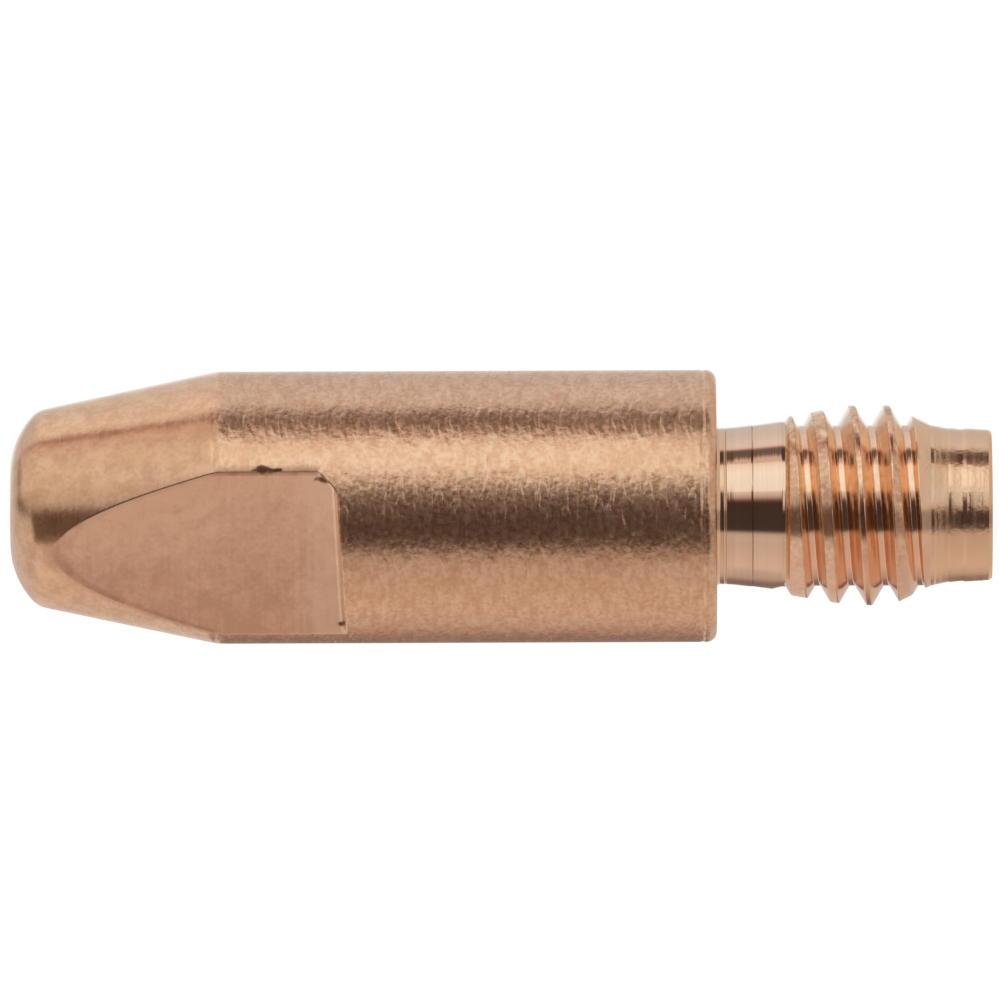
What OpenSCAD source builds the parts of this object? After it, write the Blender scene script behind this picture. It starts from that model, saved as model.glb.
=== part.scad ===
// Welding contact tip: one turned copper piece that screws into a torch and feeds the wire through its middle.
// The axis is Z. The seat that meets the torch is at Z = 0, the nose points up and the threaded end down.
// The two wrench flats face -Y and +Y.

/* [Body] */
// Diameter of the plain round body
body_d = 7.9; // [7:0.1:9]
// Length of the plain body, from the seat to where the nose starts to narrow
body_len = 14.5; // [12.5:0.5:18]
// Bevel on the edge of the seat
seat_bevel = 0.2; // [0.1:0.05:0.5]

/* [Nose] */
// Length of the nose, from the plain body to the end face
nose_len = 6; // [5:0.25:8]
// Slope of the nose side, in degrees from the axis
nose_slope = 12; // [8:0.2:14]
// Diameter of the flat end face
nose_face_d = 2.1; // [1.8:0.1:2.8]
// Radius that rounds the nose side into the end
nose_corner_r = 0.8; // [0.5:0.05:1]
// Length of the rounded end
nose_round_len = 1.04; // [0.9:0.02:1.3]

/* [Wrench flats] */
// Width across the two flats
across_flats = 5.9; // [5:0.1:6.6]
// Distance from the seat to the end wall of a flat
flat_start = 10.87; // [8:0.1:13]
// Angle of a flat's end wall from square, as the cutter left it
flat_skew = 3; // [0:0.5:6]

/* [Neck] */
// Diameter of the neck under the seat
neck_d = 4.55; // [4.2:0.05:4.6]
// Length of the plain part of the neck
neck_plain_len = 0.5; // [0.2:0.05:0.8]
// Diameter of the ring where the neck is widest
neck_ring_d = 4.91; // [4.7:0.01:5]
// Length from the plain part of the neck to that ring
neck_slope_len = 1.4; // [0.8:0.01:1.7]
// Diameter where the neck ends at the thread
neck_end_d = 4.88; // [4.7:0.01:4.9]
// Length from the ring to the thread
neck_end_len = 0.1; // [0.05:0.01:0.6]

/* [Thread] */
// Outside diameter of the thread
thread_d = 5.8; // [5.7:0.01:6]
// Diameter at the bottom of the thread
thread_root_d = 4.66; // [4.6:0.01:4.9]
// Distance from one turn of the thread to the next
thread_pitch = 1; // [0.9:0.05:1.1]
// Width of the flat along the top of the thread
thread_crest = 0.16; // [0.08:0.01:0.24]
// Diameter where the thread fades out beside the neck
fade_d = 5.2; // [5:0.05:5.6]
// Length of the bevel at the start of the fade
fade_bevel_len = 0.12; // [0.05:0.01:0.3]
// Length over which the thread grows to its full diameter
fade_len = 1.78; // [1:0.01:2.2]
// Length of the thread at its full diameter
full_len = 1.2; // [0.8:0.05:3]
// Length of the slope that leads the thread into the torch
lead_len = 1.35; // [0.8:0.05:1.8]
// Angle around the axis where the thread groove comes out beside the neck
groove_end_angle = 295; // [0:5:360]

/* [Pilot] */
// Diameter of the plain end below the thread
pilot_d = 4.45; // [4:0.05:4.5]
// Length of that plain end
pilot_len = 1.55; // [1:0.05:2.5]
// Bevel on its edge
pilot_bevel = 0.1; // [0.05:0.05:0.3]

/* [Wire passage] */
// Diameter of the hole the wire runs through
wire_bore_d = 1.2; // [0.8:0.1:1.6]
// Diameter of the funnel at the threaded end
funnel_d = 2.6; // [2:0.1:3.2]
// Angle between the funnel's sides, in degrees
funnel_angle = 60; // [45:5:90]
// Bevel where the hole meets the end face of the nose
bore_bevel = 0.1; // [0.05:0.05:0.15]

/* [Hidden] */
$fn = 96;
copper = [0.78, 0.52, 0.38];
// small overlap that carries a cut past the surface it opens
past = 1;
// the thread's sides lean this far from square
thread_side = 30;
// steps the thread groove is drawn in, for each turn
groove_steps = 36;
// steps in each rounded edge of the nose
round_steps = 10;

body_r = body_d / 2;
nose_face_r = nose_face_d / 2;
nose_z = body_len + nose_len;

// levels down the threaded end, each measured from the seat
neck_ring_z = -neck_plain_len - neck_slope_len;
fade_z = neck_ring_z - neck_end_len;
fade_top_z = fade_z - fade_bevel_len;
full_z = fade_top_z - fade_len;
lead_z = full_z - full_len;
pilot_z = lead_z - lead_len;
end_z = pilot_z - pilot_len;

// where the straight side of the nose ends, and the centre of the small round that follows
side_end_z = nose_z - nose_round_len;
side_end_r = body_r - (nose_len - nose_round_len) * tan(nose_slope);
corner_cr = side_end_r - nose_corner_r * cos(nose_slope);
corner_cz = side_end_z - nose_corner_r * sin(nose_slope);
// the large round touches both the small one and the flat end face
corner_rise = nose_z - corner_cz;
dome_num = pow(corner_cr - nose_face_r, 2) + pow(corner_rise, 2) - pow(nose_corner_r, 2);
dome_r = dome_num / (2 * (corner_rise - nose_corner_r));
dome_cz = nose_z - dome_r;
meet_angle = atan2(corner_cz - dome_cz, corner_cr - nose_face_r);

function arc(cr, cz, r, from, to) =
    [for (i = [0 : round_steps]) let (a = from + (to - from) * i / round_steps)
        [cr + r * cos(a), cz + r * sin(a)]];

// half of the outline, from the threaded end up to the nose, as distance from the axis and height
outline = concat(
    [
        [0, end_z],
        [pilot_d / 2 - pilot_bevel, end_z],
        [pilot_d / 2, end_z + pilot_bevel],
        [pilot_d / 2, pilot_z],
        [thread_d / 2, lead_z],
        [thread_d / 2, full_z],
        [fade_d / 2, fade_top_z],
        [neck_end_d / 2, fade_z],
        [neck_ring_d / 2, neck_ring_z],
        [neck_d / 2, -neck_plain_len],
        [neck_d / 2, 0],
        [body_r - seat_bevel, 0],
        [body_r, seat_bevel],
        [body_r, body_len]
    ],
    arc(corner_cr, corner_cz, nose_corner_r, nose_slope, meet_angle),
    [for (i = [1 : round_steps])
        arc(nose_face_r, dome_cz, dome_r, meet_angle, 90)[i]],
    [[0, nose_z]]
);

module turned_blank() {
    rotate_extrude() polygon(outline);
}

// the groove stops a little inside the neck, where the tool lifts out within part of a turn
groove_top_z = fade_z + 0.3 * thread_pitch;
groove_turns = (groove_top_z - pilot_z) / thread_pitch + 0.75;
groove_count = ceil(groove_turns * groove_steps);
groove_lift = 0.4;
lift_turns = 0.25;
root_r = thread_root_d / 2;
thread_depth = (thread_d - thread_root_d) / 2;
root_half = (thread_pitch - thread_crest) / 2 - thread_depth * tan(thread_side);
// the groove's open side stays clear of the next turn
groove_out_r = thread_d / 2 + 0.3 * thread_crest / tan(thread_side);

function groove_section(i) =
    let (
        turn = i / groove_steps,
        angle = groove_end_angle - 360 * turn,
        z = groove_top_z - thread_pitch * turn,
        inner_r = root_r + groove_lift * max(0, 1 - turn / lift_turns),
        outer_half = root_half + (groove_out_r - inner_r) * tan(thread_side)
    )
    [for (p = [[inner_r, root_half], [groove_out_r, outer_half],
               [groove_out_r, -outer_half], [inner_r, -root_half]])
        [p[0] * cos(angle), p[0] * sin(angle), z + p[1]]];

function groove_side(i, k) =
    let (a = 4 * i + k, b = 4 * i + (k + 1) % 4)
    [[a, b, b + 4], [a, b + 4, a + 4]];

module thread_groove() {
    points = [for (i = [0 : groove_count]) each groove_section(i)];
    last = 4 * groove_count;
    faces = concat(
        [[0, 3, 2], [0, 2, 1]],
        [for (i = [0 : groove_count - 1]) for (k = [0 : 3]) each groove_side(i, k)],
        [[last, last + 1, last + 2], [last, last + 2, last + 3]]
    );
    polyhedron(points, faces);
}

module flat_cut() {
    depth = body_r - across_flats / 2 + past;
    reach = nose_z - flat_start + 2 * past;
    translate([0, -across_flats / 2 - depth, flat_start])
        rotate([0, -flat_skew, 0])
            translate([-2 * body_r, 0, 0])
                cube([4 * body_r, depth, reach]);
}

module wire_passage() {
    bore_r = wire_bore_d / 2;
    funnel_len = (funnel_d - wire_bore_d) / 2 / tan(funnel_angle / 2);
    translate([0, 0, end_z - past])
        cylinder(d = wire_bore_d, h = nose_z - end_z + 2 * past);
    translate([0, 0, end_z])
        cylinder(d1 = funnel_d, d2 = wire_bore_d, h = funnel_len);
    translate([0, 0, nose_z - bore_bevel])
        cylinder(r1 = bore_r, r2 = bore_r + 2 * bore_bevel, h = 2 * bore_bevel);
}

module contact_tip() {
    color(copper)
        difference() {
            turned_blank();
            thread_groove();
            flat_cut();
            rotate([0, 0, 180]) flat_cut();
            wire_passage();
        }
}

contact_tip();
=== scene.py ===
import math

import bpy
from mathutils import Matrix, Vector


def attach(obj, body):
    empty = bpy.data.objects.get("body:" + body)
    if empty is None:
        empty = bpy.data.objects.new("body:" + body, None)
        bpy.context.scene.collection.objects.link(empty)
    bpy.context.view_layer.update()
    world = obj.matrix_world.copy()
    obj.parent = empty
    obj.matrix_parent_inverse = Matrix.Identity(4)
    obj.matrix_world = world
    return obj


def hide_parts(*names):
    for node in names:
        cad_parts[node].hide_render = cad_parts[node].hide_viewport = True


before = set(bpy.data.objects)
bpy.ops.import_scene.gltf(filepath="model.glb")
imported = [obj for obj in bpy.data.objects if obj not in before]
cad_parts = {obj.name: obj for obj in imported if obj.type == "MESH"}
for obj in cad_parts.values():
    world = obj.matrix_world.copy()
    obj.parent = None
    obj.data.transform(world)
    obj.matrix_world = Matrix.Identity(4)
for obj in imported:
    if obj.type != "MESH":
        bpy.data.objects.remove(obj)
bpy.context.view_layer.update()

# The contact tip is one bar of copper, turned on a lathe: nose, plain body, seat, neck, thread and pilot.
# A cutter then mills the two wrench flats and a drill opens the hole that the wire runs through.
# Sizes are in millimetres, out from the axis and along it from the seat, with the nose on the plus side.
MM = 0.001
body_r = 3.95
body_len = 14.5
nose_len = 6.0
nose_slope = math.radians(12)
nose_face_r = 1.05
nose_corner_r = 0.8
nose_round_len = 1.04
nose_z = body_len + nose_len
flat_depth = 2.95
flat_start = 10.87
flat_skew = math.radians(3)
neck_r, neck_plain_z = 2.275, -0.5
neck_ring_r, neck_ring_z = 2.455, -1.9
neck_end_r, fade_z = 2.44, -2.0
fade_r, fade_top_z = 2.6, -2.12
thread_r, full_z, lead_z = 2.9, -3.9, -5.1
thread_root_r = 2.33
thread_pitch = 1.0
thread_crest = 0.16
thread_side = math.radians(30)
groove_end_angle = math.radians(295)
groove_top_z = fade_z + 0.3 * thread_pitch
pilot_r, pilot_z, end_z = 2.225, -6.45, -8.0
pilot_bevel = 0.1
bore_r, bore_bevel = 0.6, 0.1
funnel_r, funnel_z = 1.3, -6.79
root_half = (thread_pitch - thread_crest) / 2 - (thread_r - thread_root_r) * math.tan(thread_side)


def rounded(corners, steps=5):
    """Path through (r, z, corner radius) points, with each corner turned into an arc."""
    most_of_side = 0.45
    path = []
    for i, (r, z, radius) in enumerate(corners):
        here = Vector((r, z))
        if radius == 0 or i in (0, len(corners) - 1):
            path.append(here)
            continue
        back = Vector(corners[i - 1][:2]) - here
        ahead = Vector(corners[i + 1][:2]) - here
        turn = math.pi - back.angle(ahead)
        reach = min(radius * math.tan(turn / 2), most_of_side * back.length, most_of_side * ahead.length)
        start = here + back.normalized() * reach
        end = here + ahead.normalized() * reach
        for k in range(steps + 1):
            t = k / steps
            path.append(start.lerp(here, t).lerp(here.lerp(end, t), t))
    return path


def spaced(path, step):
    """The same path with no two neighbours further apart than the step."""
    slack = 1e-6
    out = [path[0]]
    for a, b in zip(path, path[1:]):
        parts = max(1, math.ceil((b - a).length / step - slack))
        out += [a.lerp(b, k / parts) for k in range(1, parts + 1)]
    return out


def arc(centre, radius, first, last, steps):
    return [
        centre + radius * Vector((math.cos(a), math.sin(a)))
        for a in (first + (last - first) * k / steps for k in range(steps + 1))
    ]


def tool_ring(r, z, width, depth):
    """A shallow groove that the lathe tool left, as corners of the path."""
    rim_round, bottom_round = 0.02, 0.04
    return [(r, z - width / 2, rim_round), (r - depth, z, bottom_round), (r, z + width / 2, rim_round)]


# the rounded end of the nose: a small round from the sloping side, then a large one up to the flat face
side_end_z = nose_z - nose_round_len
side_end_r = body_r - (nose_len - nose_round_len) * math.tan(nose_slope)
corner = Vector((side_end_r - nose_corner_r * math.cos(nose_slope),
                 side_end_z - nose_corner_r * math.sin(nose_slope)))
rise = nose_z - corner.y
dome_r = ((corner.x - nose_face_r) ** 2 + rise ** 2 - nose_corner_r ** 2) / (2 * (rise - nose_corner_r))
dome = Vector((nose_face_r, nose_z - dome_r))
meet = math.atan2(corner.y - dome.y, corner.x - dome.x)
corner_steps, dome_steps = 14, 12
nose_round = arc(corner, nose_corner_r, nose_slope, meet, corner_steps)
nose_round += arc(dome, dome_r, meet, math.pi / 2, dome_steps)[1:]

# the lathe's path, from the hole round the threaded end, up the outside and back into the hole at the nose
screw_low_share, screw_high_share, neck_line_share = 0.17, 0.5, 0.39
screw_low = Vector((pilot_r, pilot_z)).lerp(Vector((thread_r, lead_z)), screw_low_share)
screw_high = Vector((neck_end_r, fade_z)).lerp(Vector((neck_ring_r, neck_ring_z)), screw_high_share)
neck_middle = Vector((neck_r, neck_plain_z)).lerp(Vector((neck_ring_r, neck_ring_z)), neck_line_share)
# the pilot narrows towards its end and has two tool steps: height, how far past its radius, corner radius
pilot_steps = (
    (end_z + pilot_bevel, -0.035, 0.05), (-7.25, 0.003, 0.03), (-7.14, -0.017, 0.05), (-6.80, 0.012, 0.05),
    (-6.72, 0.001, 0.04), (-6.60, 0.03, 0.06),
)
foot = spaced(rounded([
    (bore_r, 0, 0), (bore_r, funnel_z, 0.1), (funnel_r, end_z, 0.05), (pilot_r - pilot_bevel, end_z, 0.04),
    *((pilot_r + past, z, corner_r) for z, past, corner_r in pilot_steps), (*screw_low, 0),
]), step=0.4)
screw = spaced(rounded([
    (*screw_low, 0), (thread_r, lead_z, 0.12), (thread_r, full_z, 0.12), (fade_r, fade_top_z, 0.03),
    (neck_end_r, fade_z, 0.03), (*screw_high, 0),
]), step=0.017)
# the neck narrows a little towards the seat and flares in its corner
neck_taper, neck_flare, neck_flare_z = 0.012, 0.04, -0.1
seat_round, seat_steps = 0.3, 8
seat_edge = arc(Vector((body_r - seat_round, seat_round)), seat_round, -math.pi / 2, 0, seat_steps)
wall_below, wall_above = 0.06, 0.2
neck = spaced(rounded([
    (*screw_high, 0), (neck_ring_r, neck_ring_z, 0.1), *tool_ring(*neck_middle, width=0.08, depth=0.004),
    (neck_r + neck_taper, neck_plain_z, 0.3), *tool_ring(neck_r, -0.25, width=0.08, depth=0.015),
    (neck_r - neck_taper, neck_flare_z, 0.04), (neck_r + neck_flare, 0, 0.03),
    *((*p, 0) for p in seat_edge),
    *tool_ring(body_r, 0.40, width=0.17, depth=0.018),
    (body_r, flat_start - wall_below, 0),
]), step=0.3)
wall_steps = 6
wall_lean = 0.018
wall = [Vector((body_r, flat_start + wall_lean * k)) for k in range(wall_steps + 1)]
shoulder_round = 2.5
shoulder = spaced(rounded([
    (body_r, flat_start + wall_above, 0), (body_r, body_len, shoulder_round), (side_end_r, side_end_z, 0),
]), step=0.22)
mouth_r, mouth_edge = bore_r + bore_bevel, 0.02
mouth = spaced([
    Vector((nose_face_r, nose_z)), Vector((mouth_r, nose_z)),
    Vector((mouth_r - mouth_edge, nose_z - mouth_edge)),
], step=0.2)
hole = spaced([Vector((bore_r, nose_z - bore_bevel)), Vector((bore_r, 0))], step=4.0)

# how far the flat is cut at each point of the path, and how wide it is there as an angle
outline = foot + screw[1:] + neck[1:] + wall + shoulder + nose_round[1:] + mouth[1:] + hole
wall_first = len(foot) + len(screw) - 1 + len(neck) - 1
cut_share = [min(1.0, max(0.0, (i - wall_first) / wall_steps)) for i in range(len(outline))]
outside = len(outline) - len(mouth) - len(hole) + 2
half_body = math.acos(flat_depth / body_r)
half_least = math.radians(5)
flat_half = [
    max(half_least, math.acos(min(1.0, flat_depth / p.x))) if wall_first < i < outside else half_body
    for i, p in enumerate(outline)
]

lathe_path = bpy.data.meshes.new("lathe path")
lathe_path.from_pydata(
    [(p.x * MM, 0, p.y * MM) for p in outline], [(i, i + 1) for i in range(len(outline) - 1)], []
)
for name, values in (("cut_share", cut_share), ("flat_half", flat_half)):
    lathe_path.attributes.new(name, "FLOAT", "POINT").data.foreach_set("value", values)


class Wire:
    """A value on its way through a node tree. Arithmetic on it adds Math nodes."""

    def __init__(self, tree, socket):
        self.tree = tree
        self.socket = socket

    @classmethod
    def node(cls, tree, kind, settings=None, sockets=None, out=0):
        """A node of this type, its settings set first, then its sockets' values or links."""
        made = tree.nodes.new(kind)
        for key, value in (settings or {}).items():
            if key == "stops":
                ramp = made.color_ramp
                while len(ramp.elements) < len(value):
                    ramp.elements.new(0.5)
                for stop, (place, colour) in zip(ramp.elements, value):
                    stop.position = place
                    stop.color = colour
            else:
                setattr(made, key, value)
        for key, value in (sockets or {}).items():
            if isinstance(value, Wire):
                tree.links.new(value.socket, made.inputs[key])
            else:
                made.inputs[key].default_value = value
        return cls(tree, made.outputs[out])

    def math(self, operation, *others):
        values = dict(enumerate((self,) + others))
        return Wire.node(self.tree, "ShaderNodeMath", {"operation": operation}, values)

    def __add__(self, other):
        return self.math("ADD", other)

    __radd__ = __add__

    def __sub__(self, other):
        return self.math("SUBTRACT", other)

    def __rsub__(self, other):
        return Wire.node(self.tree, "ShaderNodeMath", {"operation": "SUBTRACT"}, {0: other, 1: self})

    def __mul__(self, other):
        return self.math("MULTIPLY", other)

    __rmul__ = __mul__

    def __truediv__(self, other):
        return self.math("DIVIDE", other)

    def smoothly(self, low, high, start=0.0, end=1.0):
        """This value eased from start to end as it passes from low to high."""
        return Wire.node(
            self.tree, "ShaderNodeMapRange", {"interpolation_type": "SMOOTHSTEP"},
            {0: self, 1: low, 2: high, 3: start, 4: end},
        )

    def evenly(self, low, high, start=0.0, end=1.0):
        """The same, in a straight line."""
        return Wire.node(self.tree, "ShaderNodeMapRange", {"clamp": True},
                         {0: self, 1: low, 2: high, 3: start, 4: end})


def new_finish(name):
    """A metal material with its shader and the place on the piece in metres."""
    material = bpy.data.materials.new(name)
    material.use_nodes = True
    tree = material.node_tree
    shader = tree.nodes["Principled BSDF"]
    shader.inputs["Metallic"].default_value = 1
    return material, shader, Wire.node(tree, "ShaderNodeTexCoord", out=3)


def feed(shader, name, wire):
    wire.tree.links.new(wire.socket, shader.inputs[name])


def noise(place, scale=1.0, detail=2.0, bend=0.0):
    return Wire.node(place.tree, "ShaderNodeTexNoise", None,
                     {"Vector": place, "Scale": scale, "Detail": detail, "Distortion": bend})


def stretched(place, across, along):
    """The place scaled across the axis and along it, for marks that run one way."""
    return Wire.node(place.tree, "ShaderNodeMapping", None,
                     {"Vector": place, "Scale": (across, across, along)})


def blend(share, first, second):
    return Wire.node(share.tree, "ShaderNodeMix", {"data_type": "RGBA"},
                     {"Factor": share, 6: first, 7: second}, out=2)


def raised(height, depth):
    """A bump whose height of one stands this many metres tall."""
    return Wire.node(height.tree, "ShaderNodeBump", None,
                     {"Height": height, "Strength": 1.0, "Distance": depth})


def mark(place, name):
    return Wire.node(place.tree, "ShaderNodeAttribute", {"attribute_name": name}, out=2)


def part_of(place, axis):
    """The place along one axis, in millimetres."""
    return Wire.node(place.tree, "ShaderNodeSeparateXYZ", None, {0: place}, out="XYZ".index(axis)) / MM


# dark smears where the cutter tore the flat's edge: place across, towards the flat and along, then reach
smears = (
    (2.68, -2.93, 13.35, 0.12), (2.69, -2.93, 13.05, 0.13), (2.68, -2.93, 12.70, 0.09),
    (2.38, -2.95, 11.30, 0.18), (-2.28, -2.95, 10.80, 0.10),
)
smear_long, smear_ragged, smear_core = 0.4, 0.4, 0.35
smear_colour = (0.27, 0.14, 0.085, 1)
# dark brown for the rim along a flat's edge: some wear, and painted shade for the dark room that the edge
# mirrors
worn_and_shaded_edge_colour = (0.50, 0.29, 0.18, 1)


def torn(place):
    """How much of a smear lies here, with ragged rims."""
    drawn_out = stretched(place, across=1, along=smear_long)
    ragged = (noise(place, scale=2600, detail=3) - 0.5) * smear_ragged * MM
    share = 0.0
    for x, y, z, reach in smears:
        away = Wire.node(place.tree, "ShaderNodeVectorMath", {"operation": "DISTANCE"},
                         {0: drawn_out, 1: (x * MM, y * MM, z * MM * smear_long)}, out=1)
        share = (away + ragged).smoothly(reach * MM, smear_core * reach * MM).math("MAXIMUM", share)
    return share


# Drawn and tumbled copper, on the plain body and the nose: satin, with short fine marks round the axis.
# The nose is turned after that, so it is smoother.
drawn_copper, shader, place = new_finish("drawn copper")
strokes = noise(stretched(place, across=1700, along=5000), detail=1, bend=0.4)
fuzz = noise(place, scale=7500, detail=2)
patches = noise(place, scale=450, detail=3)
streaks = noise(stretched(place, across=1100, along=160), detail=3)
smear = torn(place)
on_nose = part_of(place, "Z").smoothly(body_len - 0.15, body_len + 0.1)
rim = mark(place, "rim")
pale_drawn, deep_drawn = (0.905, 0.625, 0.413, 1), (0.725, 0.437, 0.264, 1)
pale_nose, deep_nose = (0.89, 0.575, 0.375, 1), (0.73, 0.435, 0.275, 1)
orange_drawn = (0.80, 0.48, 0.26, 1)
grain = (0.6 * fuzz + 0.4 * strokes).smoothly(0.67, 0.33)
blots = noise(place, scale=2100, detail=3)
mottle = (0.4 * fuzz + 0.6 * blots).smoothly(0.65, 0.35)
colour = blend(on_nose, blend(grain, pale_drawn, deep_drawn), blend(mottle, pale_nose, deep_nose))
colour = blend(streaks.smoothly(0.5, 0.75, 0, 0.5), colour, orange_drawn)
# the rim along the flat's edge darkens: some wear, and painted shade for the dark room that the edge
# mirrors
colour = blend(rim * patches.smoothly(0.3, 0.7, 0.2, 0.7), colour, worn_and_shaded_edge_colour)
feed(shader, "Base Color", blend(smear, colour, smear_colour))
dull = 0.29 + 0.12 * (fuzz - 0.5) + 0.12 * (patches - 0.5)
feed(shader, "Roughness", dull * (1 - 0.35 * on_nose) + 0.4 * smear + 0.2 * rim)
stroke_depth = 0.029
feed(shader, "Normal", raised((strokes + 0.3 * fuzz) * (1 - 0.8 * on_nose), stroke_depth * MM))

# Milled copper, on the two flats: dull, with faint cutter lines across and a paler strip at the end wall.
milled_copper, shader, place = new_finish("milled copper")
lines = noise(stretched(place, across=260, along=8000), detail=2)
fuzz = noise(place, scale=7000, detail=2)
swirls = noise(place, scale=900, detail=3, bend=1.5)
smear = torn(place)
rim = mark(place, "rim")
pale_milled, deep_milled = (0.95, 0.63, 0.425, 1), (0.73, 0.44, 0.285, 1)
strip_milled = (0.96, 0.71, 0.51, 1)
# the flat's tone: paler towards +X and at its nose end, darker towards -X, mottled by noise
paler_nose_end = part_of(place, "Z").smoothly(14, 17) * part_of(place, "X").smoothly(-1, 1)
milled_tone = part_of(place, "X").evenly(2.6, -2.6) - 0.3 * paler_nose_end
milled_tone = milled_tone + 0.9 * (swirls - 0.5) + 1.1 * (fuzz - 0.5) + 0.5 * (lines - 0.5)
strip_from, strip_to, strip_most = 12.5, 11.2, 0.5
strip = part_of(place, "Z") + 1.2 * (lines - 0.5) + 0.8 * (swirls - 0.5)
strip = strip.smoothly(strip_from, strip_to, 0, strip_most)
colour = blend(strip, blend(milled_tone, pale_milled, deep_milled), strip_milled)
# the rim along the flat's edge darkens: some wear, and painted shade for the dark room that the edge
# mirrors
colour = blend(rim * swirls.smoothly(0.3, 0.7, 0.2, 0.7), colour, worn_and_shaded_edge_colour)
feed(shader, "Base Color", blend(smear, colour, smear_colour))
feed(shader, "Roughness", 0.29 + 0.2 * (swirls - 0.5) + 0.3 * smear + 0.2 * rim)
line_depth = 0.002
feed(shader, "Normal", raised(lines + 0.4 * fuzz, line_depth * MM))

# Bright turned copper, on the stud: nearly a mirror on the neck, duller and ringed on the pilot.
# The thread's crests are scuffed and hold specks of dark dirt.
bright_copper, shader, place = new_finish("bright turned copper")
down = part_of(place, "Z")
rings = noise(stretched(place, across=40, along=14000), detail=2)
wide_rings = noise(stretched(place, across=60, along=2600), detail=2)
fuzz = noise(place, scale=7000, detail=3)
specks = noise(stretched(place, across=3600, along=5600), detail=3)
clouds = noise(place, scale=1100, detail=2)
crest = mark(place, "crest")
on_thread = down.smoothly(-1.95, -2.1) * down.smoothly(-6.3, -6.1)
on_pilot = down.smoothly(-6.0, -6.4)
pale_neck, deep_neck = (0.865, 0.643, 0.465, 1), (0.81, 0.593, 0.42, 1)
pilot_copper, thread_copper = (0.90, 0.615, 0.392, 1), (0.925, 0.66, 0.46, 1)
# a darker, browner copper for the thread's side away from the soft box: painted shade
shaded_thread_copper = (0.86, 0.556, 0.382, 1)
scuffed_copper, dirt = (0.82, 0.51, 0.335, 1), (0.36, 0.20, 0.12, 1)
colour = blend((0.5 * rings + 0.5 * wide_rings).smoothly(0.65, 0.35), pale_neck, deep_neck)
stain_z, stain_wide, stain_core = -1.046, 0.03, 0.012
stain = (down - stain_z).math("ABSOLUTE").smoothly(stain_wide, stain_core)
stain = stain * clouds.smoothly(0.3, 0.6, 0.3, 0.7)
colour = blend(stain, colour, dirt)
colour = blend(on_pilot * wide_rings.evenly(0.2, 0.8, 0.7, 1.0), colour, pilot_copper)
# painted shade: the thread turns browner and darker on its side away from the soft box
shade_away_from_box = part_of(place, "X").smoothly(1.2, -1.0)
colour = blend(on_thread, colour, blend(shade_away_from_box, thread_copper, shaded_thread_copper))
colour = blend(crest * fuzz.smoothly(0.3, 0.6), colour, scuffed_copper)
above = part_of(place, "X").smoothly(-1.0, 2.2, 0.25, 1.0)
dirty = (0.30 * crest + 0.20 * on_thread) * above * (0.5 * specks + 0.5 * clouds).smoothly(0.48, 0.62)
feed(shader, "Base Color", blend(dirty, colour, dirt))
dull = 0.07 + 0.07 * rings + on_pilot * wide_rings.evenly(0.35, 0.65, 0.03, 0.17)
feed(shader, "Roughness", dull + 0.06 * on_thread * fuzz + 0.06 * crest)
scuffs = rings + on_thread * (0.8 * rings + 0.6 * fuzz) + on_pilot * (8 * wide_rings + 3 * fuzz)
# the thread mirrors as if it leaned a little towards the nose, and the pilot towards the foot
scuff_depth, thread_lean, pilot_lean = 0.0025, 0.11, 0.08
thread_low_z, pilot_top_z = -6.3, -6.75
leaning = (
    down.evenly(thread_low_z, fade_z, thread_lean / scuff_depth * (fade_z - thread_low_z), 0)
    + down.evenly(end_z, pilot_top_z, 0, pilot_lean / scuff_depth * (pilot_top_z - end_z))
)
feed(shader, "Normal", raised(scuffs + leaning, scuff_depth * MM))

# The lathe's path is swept around the axis, the thread is sunk into it and the flats are cut across it.
tip_tree = bpy.data.node_groups.new("turned tip", "GeometryNodeTree")
tip_tree.interface.new_socket("Geometry", in_out="OUTPUT", socket_type="NodeSocketGeometry")
tip_tree.interface.new_socket("Lathe path", in_out="INPUT", socket_type="NodeSocketGeometry")
tip_sizes = {
    "Flat depth": flat_depth * MM,
    "Flat start": flat_start * MM,
    "Flat skew": math.tan(flat_skew),
    "Flat edge reach": body_r * math.sin(half_body) * MM / (math.pi / 2 - half_body),
    "Skew fade": 2.5 * MM,
    "Corner start": 2.05 * MM,
    "Corner end": 2.75 * MM,
    "Corner lift": 0.55 * MM,
    "Edge break": 0.025 * MM,
    "Edge angle": math.radians(1.0),
    "Rim width": 0.05 * MM,
    "Thread pitch": thread_pitch * MM,
    "Thread root": thread_root_r * MM,
    "Root half": root_half * MM,
    "Thread side": math.tan(thread_side),
    "Thread soft": 0.05 * MM,
    "Thread top": fade_z * MM,
    "Thread foot": pilot_z * MM,
    "Crest depth": 0.07 * MM,
    "Groove end": groove_end_angle,
    "Groove top": groove_top_z * MM,
    "Groove lift": 0.4 * MM,
    "Lift turns": 0.25,
}
identifiers = {
    name: tip_tree.interface.new_socket(name, in_out="INPUT", socket_type="NodeSocketFloat").identifier
    for name in tip_sizes
}
group_in = tip_tree.nodes.new("NodeGroupInput")
group_out = tip_tree.nodes.new("NodeGroupOutput")
path_in = Wire(tip_tree, group_in.outputs["Lathe path"])
size = {name: Wire(tip_tree, group_in.outputs[name]) for name in tip_sizes}


def tip_node(kind, settings=None, sockets=None, out=0):
    return Wire.node(tip_tree, kind, settings, sockets, out)


def named(name):
    return tip_node("GeometryNodeInputNamedAttribute", {"data_type": "FLOAT"}, {"Name": name})


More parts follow.
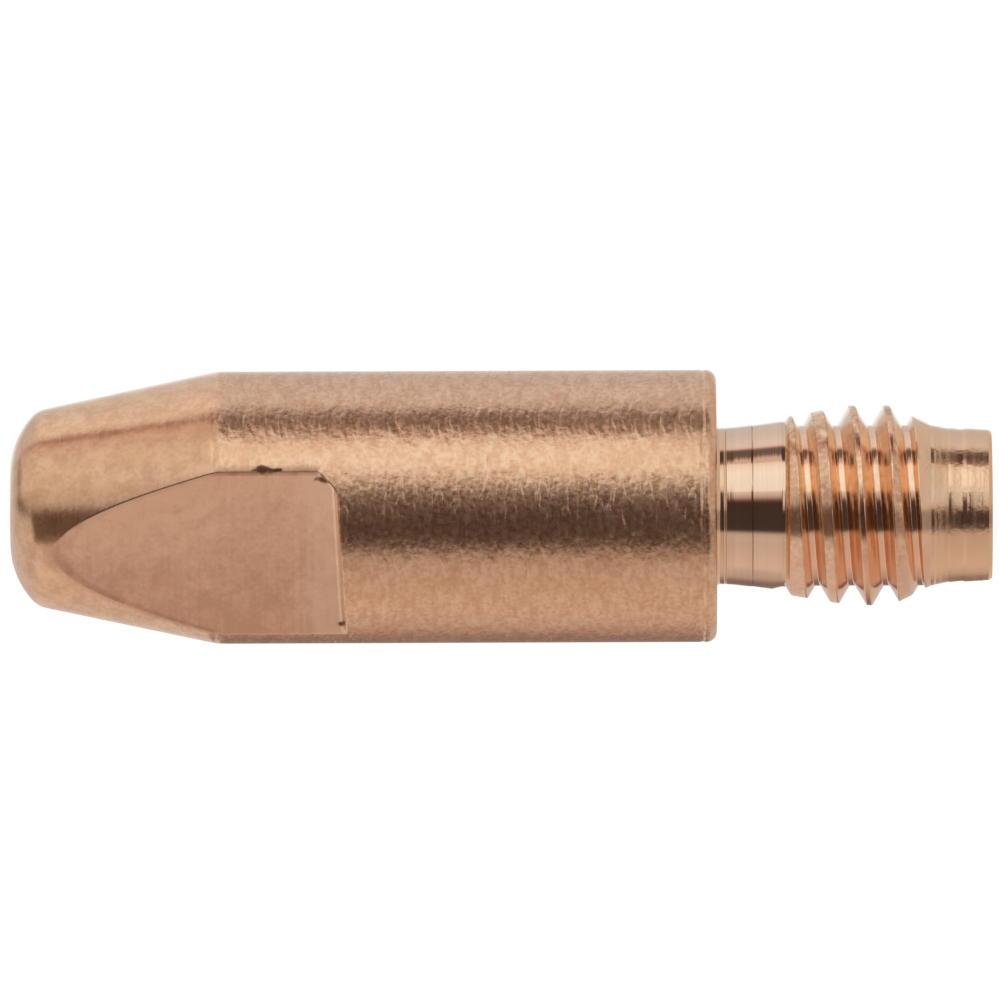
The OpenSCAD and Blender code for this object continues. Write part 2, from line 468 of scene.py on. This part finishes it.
# every quarter turn holds the same steps: across the flat, over its edge, and round the plain side
flat_steps, edge_steps, side_steps = 16, 6, 21
quarter = flat_steps + edge_steps + side_steps
around = 4 * quarter
stations = tip_node("GeometryNodeAttributeDomainSize", {"component": "MESH"}, {0: path_in})
sheet = tip_node("GeometryNodeMeshGrid", None, {"Vertices X": stations, "Vertices Y": around + 1})
index = tip_node("GeometryNodeInputIndex")
station = (index / (around + 1)).math("FLOOR")
step = index - station * (around + 1)


def at_station(value, kind):
    return tip_node("GeometryNodeSampleIndex", {"data_type": kind, "domain": "POINT"},
                    {"Geometry": path_in, "Value": value, "Index": station})


path_point = at_station(tip_node("GeometryNodeInputPosition"), "FLOAT_VECTOR")
blank_r = tip_node("ShaderNodeSeparateXYZ", None, {0: path_point}, out=0)
blank_z = tip_node("ShaderNodeSeparateXYZ", None, {0: path_point}, out=2)
share = at_station(named("cut_share"), "FLOAT")
half = at_station(named("flat_half"), "FLOAT")

# the angle from the nearer flat's middle
in_half = step.math("MODULO", 2 * quarter) - quarter
tick = in_half.math("ABSOLUTE")
side = in_half.math("SIGN")
edge = size["Edge angle"]
crowding = 1.5
turn = (
    (half - edge) * (1 - (1 - tick.evenly(0, flat_steps)).math("POWER", crowding))
    + 2 * edge * tick.evenly(flat_steps, flat_steps + edge_steps)
    + (math.pi / 2 - half - edge) * tick.evenly(flat_steps + edge_steps, quarter)
)
half_turns = (step / (2 * quarter)).math("FLOOR")
theta = half_turns * math.pi + 3 * math.pi / 2 + turn * side

# the flat, whose end wall leans and lifts at one corner
least_cosine = 0.05
flat_r = size["Flat depth"] / turn.math("COSINE").math("MAXIMUM", least_cosine)
cut_r = blank_r.math("SMOOTH_MIN", flat_r, size["Edge break"])
milled_r = blank_r + (cut_r - blank_r) * share
edge_reach = size["Flat edge reach"] * (math.pi / 2 - turn)
skew_x = (milled_r * turn.math("SINE")).math("MINIMUM", edge_reach) * side
skew_fade = 1 - ((blank_z - size["Flat start"]).math("ABSOLUTE") / size["Skew fade"]).math("MINIMUM", 1)
corner_lift = size["Corner lift"] * skew_x.smoothly(size["Corner start"], size["Corner end"])
z = blank_z + (skew_x * size["Flat skew"] + corner_lift) * skew_fade

# the thread groove: how far this point lies from the groove's middle, and how deep the groove is there
pitch = size["Thread pitch"]
along = (z - size["Groove top"]) / pitch - (theta - size["Groove end"]) / (2 * math.pi)
groove = (along + 0.5).math("FLOOR")
off_middle = (along - groove).math("ABSOLUTE") * pitch
turns_down = -1 * (groove + (theta - size["Groove end"]) / (2 * math.pi))
lift = (1 - turns_down / size["Lift turns"]).math("MAXIMUM", 0) * size["Groove lift"]
groove_r = size["Thread root"] + lift + (
    (off_middle - size["Root half"]) / size["Thread side"]
).math("SMOOTH_MAX", 0, size["Thread soft"])
past_funnel_r = 2.0 * MM
on_screw = blank_z.math("LESS_THAN", 0.5 * size["Thread top"]) * blank_r.math("GREATER_THAN", past_funnel_r)
sunk_r = milled_r.math("SMOOTH_MIN", groove_r, size["Thread soft"])
final_r = milled_r + (sunk_r - milled_r) * on_screw

# marks for the finishes: the flats, the rim on one side of each, darkened by wear and painted shade, the
# stud and the thread's crests
least_cut, least_share = 0.002 * MM, 0.05
on_flat = milled_r.math("LESS_THAN", blank_r - least_cut) * share.math("GREATER_THAN", least_share)
upper = skew_x.smoothly(-0.5 * MM, 1 * MM)
nose_share = blank_z.smoothly((body_len - 0.2) * MM, (body_len + 0.2) * MM)
# the darkened rim lies on the upper side along the body and on the lower side on the nose: painted shade
# with some wear
worn_and_shaded_side = upper * (1 - 0.75 * nose_share) + 0.6 * (1 - upper) * nose_share
near_edge = (blank_r - flat_r).math("ABSOLUTE").smoothly(2 * size["Rim width"], size["Rim width"])
rim_share = share * worn_and_shaded_side * near_edge
above_foot = blank_z.smoothly(size["Thread foot"] + 0.5 * MM, size["Thread foot"] + 1.2 * MM)
on_thread = on_screw * blank_z.math("LESS_THAN", size["Thread top"]) * above_foot
crest_share = on_thread * (milled_r - final_r).smoothly(size["Crest depth"], 0.3 * size["Crest depth"])
on_stud = z.math("LESS_THAN", 0.005 * MM)
marks = {"milled": on_flat, "rim": rim_share, "stud": on_stud, "crest": crest_share}

shaped = tip_node("GeometryNodeSetPosition", None, {
    "Geometry": sheet,
    "Position": tip_node("ShaderNodeCombineXYZ", None, {
        0: final_r * theta.math("COSINE"), 1: final_r * theta.math("SINE"), 2: z}),
})
for name, value in marks.items():
    shaped = tip_node("GeometryNodeStoreNamedAttribute", {"data_type": "FLOAT", "domain": "POINT"},
                      {"Geometry": shaped, "Name": name, "Value": value})
seam_gap = 0.0002 * MM
closed = tip_node("GeometryNodeMergeByDistance", None, {"Geometry": shaped, "Distance": seam_gap})
smooth = tip_node("GeometryNodeSetShadeSmooth", None, {"Geometry": closed})
done = tip_node("GeometryNodeRealizeInstances", None, {"Geometry": smooth})
done = tip_node("GeometryNodeSetMaterial", None, {"Geometry": done, "Material": drawn_copper})
mostly = 0.6
for name, finish in (("milled", milled_copper), ("stud", bright_copper)):
    done = tip_node("GeometryNodeSetMaterial", None, {
        "Geometry": done, "Material": finish, "Selection": named(name).math("GREATER_THAN", mostly)})
tip_tree.links.new(done.socket, group_out.inputs[0])

maker = bpy.data.objects.new("lathe", lathe_path)
bpy.context.scene.collection.objects.link(maker)
lathe = maker.modifiers.new("turned tip", "NODES")
lathe.node_group = tip_tree
for name, value in tip_sizes.items():
    lathe[identifiers[name]] = value
bpy.context.view_layer.update()
tip_mesh = bpy.data.meshes.new_from_object(maker.evaluated_get(bpy.context.evaluated_depsgraph_get()))
bpy.data.objects.remove(maker)
tip_mesh.name = "contact_tip_visual"
tip = bpy.data.objects.new("contact_tip_visual", tip_mesh)
bpy.context.scene.collection.objects.link(tip)
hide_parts("contact_tip")
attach(tip, "root")

# The stage: a pale table under the standing tip and white all round.
# A soft box hangs above, and the room behind the lens is dark.
view_turn = math.radians(26.5)
to_camera = Vector((math.sin(view_turn), -math.cos(view_turn), 0))
picture_up = Vector((math.cos(view_turn), math.sin(view_turn), 0))

table_mesh = bpy.data.meshes.new("table")
table_r, table_sides = 0.06, 96
table_mesh.from_pydata(
    [(table_r * math.cos(a), table_r * math.sin(a), end_z * MM)
     for a in (2 * math.pi * k / table_sides for k in range(table_sides))], [], [tuple(range(table_sides))])
table = bpy.data.objects.new("table", table_mesh)
bpy.context.scene.collection.objects.link(table)
table.visible_glossy = False
pale = bpy.data.materials.new("pale table")
pale.use_nodes = True
tree = pale.node_tree
shader = tree.nodes["Principled BSDF"]
shader.inputs["Base Color"].default_value = (0.8, 0.8, 0.8, 1)
shader.inputs["Roughness"].default_value = 0.9
shader.inputs["Emission Color"].default_value = (1, 1, 1, 1)
shader.inputs["Emission Strength"].default_value = 0.66
table_mesh.materials.append(pale)

world = bpy.data.worlds.new("studio")
bpy.context.scene.world = world
world.use_nodes = True
tree = world.node_tree
backdrop = tree.nodes["Background"]
direction = Wire.node(tree, "ShaderNodeTexCoord", out=0)


def towards(axis):
    return Wire.node(tree, "ShaderNodeVectorMath", {"operation": "DOT_PRODUCT"},
                     {0: direction, 1: axis}, out=1)


def tinted(level, tint):
    return (*(level * part for part in tint), 1)


# what the metal mirrors, by degrees round the axis from the lens: angle, level and tint
plain, mild, warm, deep = (1.0, 1.0, 1.0), (1.0, 0.94, 0.90), (1.0, 0.83, 0.77), (1.0, 0.70, 0.65)
cool, rusty = (1.0, 0.96, 1.03), (1.0, 0.88, 0.83)
ember, fair = (1.0, 0.62, 0.54), (1.0, 1.03, 1.05)
room_levels = (
    (-180, 0.40, mild), (-160, 0.25, rusty), (-150, 0.26, deep), (-140, 0.34, deep), (-126, 0.56, warm),
    (-112, 0.67, warm), (-100, 0.70, warm), (-57, 0.59, warm), (-47, 0.61, warm), (-41, 0.59, warm),
    (-36, 0.06, deep), (0, 0.06, deep), (17, 0.055, ember), (20.5, 0.17, ember), (24, 0.57, deep),
    (28.5, 0.73, rusty), (34, 0.77, fair), (50, 0.79, fair), (62, 0.71, warm), (78, 0.72, rusty),
    (97, 0.78, cool), (111, 0.72, cool), (128, 0.66, cool), (180, 0.55, plain),
)
stops = [((angle + 180) / 360, tinted(level, tint)) for angle, level, tint in room_levels]
# the facing of the metal that sends this direction to the lens:
# its degrees round the axis, doubled, and how far it leans towards the nose
nose_way = Vector((0, 0, 1))
least_lens = 0.0001
to_lens = 1 + towards(to_camera)
degrees = towards(picture_up).math("ARCTAN2", to_lens) * (360 / math.pi)
lean = towards(nose_way) / (2 * to_lens).math("MAXIMUM", least_lens).math("SQRT")
past_nose = lean.evenly(0.0, 0.2, 0.0, 0.4)
on_cone = lean.smoothly(0.16, 0.2)
# the soft box starts lower for the neck, the nose and the pilot, which lean, than for the body
neck_drop, cone_drop, pilot_drop = 12.5, 17, 28
lower_edge = neck_drop * lean.smoothly(0.045, 0.06) + cone_drop * on_cone
lower_edge = lower_edge + pilot_drop * lean.smoothly(-0.10, -0.13)
lower_edge = lower_edge * degrees.smoothly(-34, -18) * degrees.smoothly(60, 25)
room = Wire.node(tree, "ShaderNodeValToRGB", {"stops": stops}, {0: (degrees + lower_edge + 180) / 360})
# the nose mirrors more of the table's glow, a browner dark, its own stretch of soft box and a whiter wall
cone_glow, cone_dark = (0.645, 0.60, 0.57, 1), (0.155, 0.11, 0.09, 1)
box_low, box_high = (0.64, 0.585, 0.535, 1), (0.765, 0.735, 0.70, 1)
wall_low, wall_high = (0.79, 0.79, 0.755, 1), (0.635, 0.645, 0.64, 1)
black, white = (0, 0, 0, 1), (1, 1, 1, 1)
room = blend(on_cone * degrees.smoothly(-38, -48), room, cone_glow)
room = blend(on_cone * degrees.smoothly(-41, -31) * degrees.smoothly(12, -10), room, cone_dark)
cone_box = blend(degrees.smoothly(12, 32), box_low, box_high)
room = blend(on_cone * degrees.smoothly(-2, 14) * degrees.smoothly(72, 60), room, cone_box)
above_cone = on_cone * degrees.smoothly(84, 92)
room = blend(above_cone, room, blend(degrees.smoothly(92, 135), wall_low, wall_high))
room = blend(0.25 * above_cone * lean.smoothly(0.35, 0.75), room, black)
# the dark gap between the soft box and the white wall above it narrows towards the nose
gap_low = 63 + 44 * past_nose
gap_high = 92 - 4 * on_cone
gap = degrees.smoothly(gap_low - 3, gap_low + 4) * degrees.smoothly(gap_high, gap_high - 6)
fringe = 4 * gap * (1 - gap)
room = Wire.node(tree, "ShaderNodeMix", {"data_type": "RGBA", "blend_type": "MULTIPLY"},
                 {"Factor": fringe, 6: room, 7: (*ember, 1)}, out=2)
room = blend(gap * (1 - 0.5 * past_nose - 0.12 * on_cone), room, tinted(0.08, deep))
# past the nose the soft box ends in a thin dark frame, with a plain pale wall beyond it
frame_edge = lean - degrees.smoothly(-45, 14, 0.64, 0.885)
frame_wide = degrees.smoothly(20, 6, 0.042, 0.11)
frame_line = (frame_edge.math("ABSOLUTE") / frame_wide).smoothly(1, 0) * degrees.smoothly(92, 80)
frame_line = frame_line * degrees.smoothly(-16, 0)
overhead = frame_edge.smoothly(-0.13, 0.05)
nose_wall = (0.67, 0.63, 0.61, 1)
room = blend(overhead, room, nose_wall)
room = blend(frame_line * degrees.smoothly(20, 6, 0.6, 1.0), room, tinted(0.12, deep))
# the white wall and the table's glow grow towards the nose, and the soft box and the floor fade
grown = 0.42 * degrees.smoothly(86, 96) + 0.38 * degrees.smoothly(-38, -50)
level = 1 + past_nose * (1 - overhead) * grown
level = level - 0.25 * past_nose * (1 - on_cone) * degrees.smoothly(15, 25) * degrees.smoothly(52, 34)
level = level - 0.8 * past_nose * (1 - on_cone) * degrees.smoothly(-95, -112)
# past the foot there is pale wall, with a little of the dark left in front of the lens
foot_wall = (0.66, 0.58, 0.53, 1)
dark_left = 0.5 * degrees.smoothly(-42, -32) * degrees.smoothly(4, -12)
room = blend(lean.smoothly(-0.2, -0.35) * (1 - dark_left), room, foot_wall)
# the lens sees white, and so do the metal's rims, which mirror what is straight behind the tip
rays = {name: Wire.node(tree, "ShaderNodeLightPath", out=name)
        for name in ("Is Camera Ray", "Is Glossy Ray", "Is Transmission Ray")}
upper_half = degrees.math("GREATER_THAN", 0)
lowest = degrees.smoothly(-180, -176, 1.0, 0.0)
behind = towards(-to_camera).smoothly(0.9, 0.99) * lowest.math("MAXIMUM", upper_half)
mirrored = (rays["Is Glossy Ray"] + rays["Is Transmission Ray"]) * behind
seen = rays["Is Camera Ray"].math("MAXIMUM", mirrored)
tree.links.new(blend(seen, room, white).socket, backdrop.inputs["Color"])
tree.links.new((seen + (1 - seen) * level).socket, backdrop.inputs["Strength"])

soft_box = bpy.data.lights.new("soft box", "AREA")
soft_box.shape = "RECTANGLE"
soft_distance = 0.3
soft_box.size = 0.24
soft_box.size_y = 0.22
soft_level = 0.31
soft_box.energy = soft_level * math.pi * soft_box.size * soft_box.size_y
soft_lamp = bpy.data.objects.new("soft box", soft_box)
bpy.context.scene.collection.objects.link(soft_lamp)
soft_angle = math.radians(42)
aim = to_camera * math.cos(soft_angle) + picture_up * math.sin(soft_angle)
across = nose_way.cross(aim)
soft_lamp.matrix_world = Matrix.Translation(aim * soft_distance) @ Matrix((
    across, nose_way, aim)).transposed().to_4x4()
soft_lamp.visible_camera = False

camera_data = bpy.data.cameras.new("camera")
camera_data.lens = 1000
camera_data.sensor_width = 36
camera = bpy.data.objects.new("camera", camera_data)
bpy.context.scene.collection.objects.link(camera)
picture_right = -nose_way
roll = math.radians(0.22)
right = picture_right * math.cos(roll) - picture_up * math.sin(roll)
up = picture_up * math.cos(roll) + picture_right * math.sin(roll)
middle_z, middle_up = 6.28 * MM, 0.2 * MM
middle = nose_way * middle_z + picture_up * middle_up
camera_distance = 0.807
camera.matrix_world = Matrix.Translation(middle + to_camera * camera_distance) @ Matrix((
    right, up, to_camera)).transposed().to_4x4()
bpy.context.scene.camera = camera

bpy.context.scene.view_settings.view_transform = "Standard"
